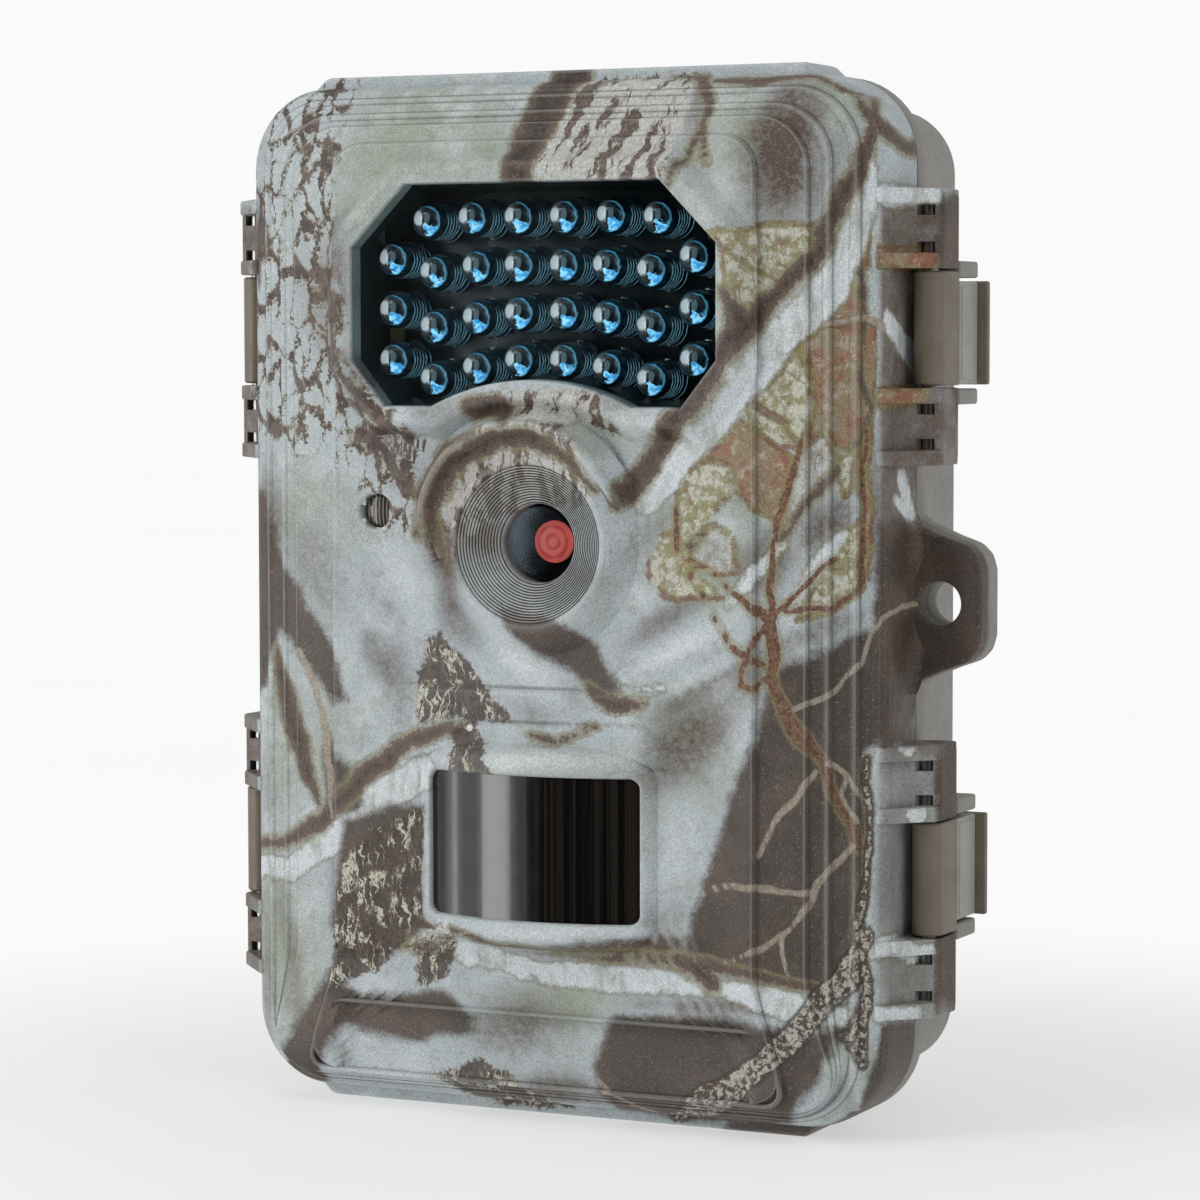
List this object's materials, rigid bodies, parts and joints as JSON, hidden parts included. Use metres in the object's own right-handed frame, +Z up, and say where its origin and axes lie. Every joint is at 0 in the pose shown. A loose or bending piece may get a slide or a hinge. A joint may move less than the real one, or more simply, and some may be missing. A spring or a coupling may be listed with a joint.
{
  "type": "trail camera",
  "caption": "Upright clamshell trail camera with a camouflage front, lamp window, lens, curved motion sensor window, two side latches, padlock tab and strap loops at the back.",
  "frame": {"origin": "middle of the bounding box's base, on the surface the camera stands on", "axes": "+X to the latch side, -Y out of the lens, +Z up"},
  "size_m": [0.111, 0.0636, 0.1432],
  "materials": {
    "camo_shell": "printed leaf and bark camouflage over textured plastic",
    "grey_shell": "warm grey, fine texture",
    "tan_latch": "tan, satin",
    "steel": "bright",
    "brass": "bright",
    "black_plastic": "black",
    "gloss_black": "gloss black",
    "clear_pane": "clear",
    "lamp_clear": "water-clear lamp heads on a black carrier",
    "filter_red": "red reflecting filter",
    "board": "circuit board",
    "rubber": "matt",
    "cell_wrap": "plain printed sleeve, no lettering",
    "panel": "dark grey, fine texture"
  },
  "bodies": {
    "rear": {"rear_housing": "grey_shell", "padlock_tab": "grey_shell", "strap_loop_left": "grey_shell", "strap_loop_right": "grey_shell", "hinge_leaf_upper": "tan_latch", "hinge_leaf_lower": "tan_latch", "tripod_insert": "brass", "power_jack": "black_plastic", "rim_seal": "rubber", "battery_upper_1": "cell_wrap", "battery_upper_2": "cell_wrap", "battery_upper_3": "cell_wrap", "battery_upper_4": "cell_wrap", "battery_lower_1": "cell_wrap", "battery_lower_2": "cell_wrap", "battery_lower_3": "cell_wrap", "battery_lower_4": "cell_wrap", "contact_plate_upper": "steel", "contact_plate_lower": "steel", "hinge_bush_upper_low": "brass", "hinge_bush_upper_high": "brass", "hinge_bush_lower_low": "brass", "hinge_bush_lower_high": "brass"},
    "cover": {"front_cover": "camo_shell", "hinge_pin_upper": "steel", "hinge_pin_lower": "steel", "latch_pin_upper": "steel", "latch_pin_lower": "steel", "lamp_array": "lamp_clear", "lamp_board": "board", "lamp_window": "clear_pane", "lens_barrel": "black_plastic", "lens_glass": "clear_pane", "lens_filter": "filter_red", "image_sensor": "black_plastic", "motion_window": "gloss_black", "motion_holder": "black_plastic", "motion_sensor": "steel", "light_sensor_window": "clear_pane", "microphone": "black_plastic", "main_board": "board", "inner_panel": "panel", "display": "clear_pane", "card_socket": "steel", "panel_screw_1": "steel", "panel_screw_2": "steel", "panel_screw_3": "steel", "panel_screw_4": "steel"},
    "latch_upper": {"latch_upper": "tan_latch", "latch_pad_upper": "grey_shell"},
    "latch_lower": {"latch_lower": "tan_latch", "latch_pad_lower": "grey_shell"},
    "key_left": {"key_left": "rubber"},
    "key_right": {"key_right": "rubber"},
    "key_up": {"key_up": "rubber"},
    "key_down": {"key_down": "rubber"},
    "key_ok": {"key_ok": "rubber"},
    "mode_switch": {"mode_switch": "black_plastic"},
    "memory_card": {"memory_card": "black_plastic"}
  },
  "joints": [
    {"name": "cover_hinge", "type": "hinge", "parent": "rear", "child": "cover", "pos_m": [-0.0533, -0.013, 0.0716], "axis": [0, 0, -1], "range_deg": [0, 115]},
    {"name": "latch_upper_turn", "type": "hinge", "parent": "cover", "child": "latch_upper", "pos_m": [0.0491, -0.013, 0.1081], "axis": [0, 0, -1], "range_deg": [0, 150]},
    {"name": "latch_lower_turn", "type": "hinge", "parent": "cover", "child": "latch_lower", "pos_m": [0.0491, -0.013, 0.0351], "axis": [0, 0, -1], "range_deg": [0, 150]},
    {"name": "key_left_press", "type": "slide", "parent": "cover", "child": "key_left", "axis": [0, -1, 0], "range_m": [0, 0.0005], "stiffness_N_per_m": 400},
    {"name": "key_right_press", "type": "slide", "parent": "cover", "child": "key_right", "axis": [0, -1, 0], "range_m": [0, 0.0005], "stiffness_N_per_m": 400},
    {"name": "key_up_press", "type": "slide", "parent": "cover", "child": "key_up", "axis": [0, -1, 0], "range_m": [0, 0.0005], "stiffness_N_per_m": 400},
    {"name": "key_down_press", "type": "slide", "parent": "cover", "child": "key_down", "axis": [0, -1, 0], "range_m": [0, 0.0005], "stiffness_N_per_m": 400},
    {"name": "key_ok_press", "type": "slide", "parent": "cover", "child": "key_ok", "axis": [0, -1, 0], "range_m": [0, 0.0005], "stiffness_N_per_m": 400},
    {"name": "mode_switch_slide", "type": "slide", "parent": "cover", "child": "mode_switch", "axis": [1, 0, 0], "range_m": [-0.005, 0.005]},
    {"name": "memory_card_slide", "type": "slide", "parent": "cover", "child": "memory_card", "axis": [0, 0, -1], "range_m": [0, 0.022]}
  ]
}
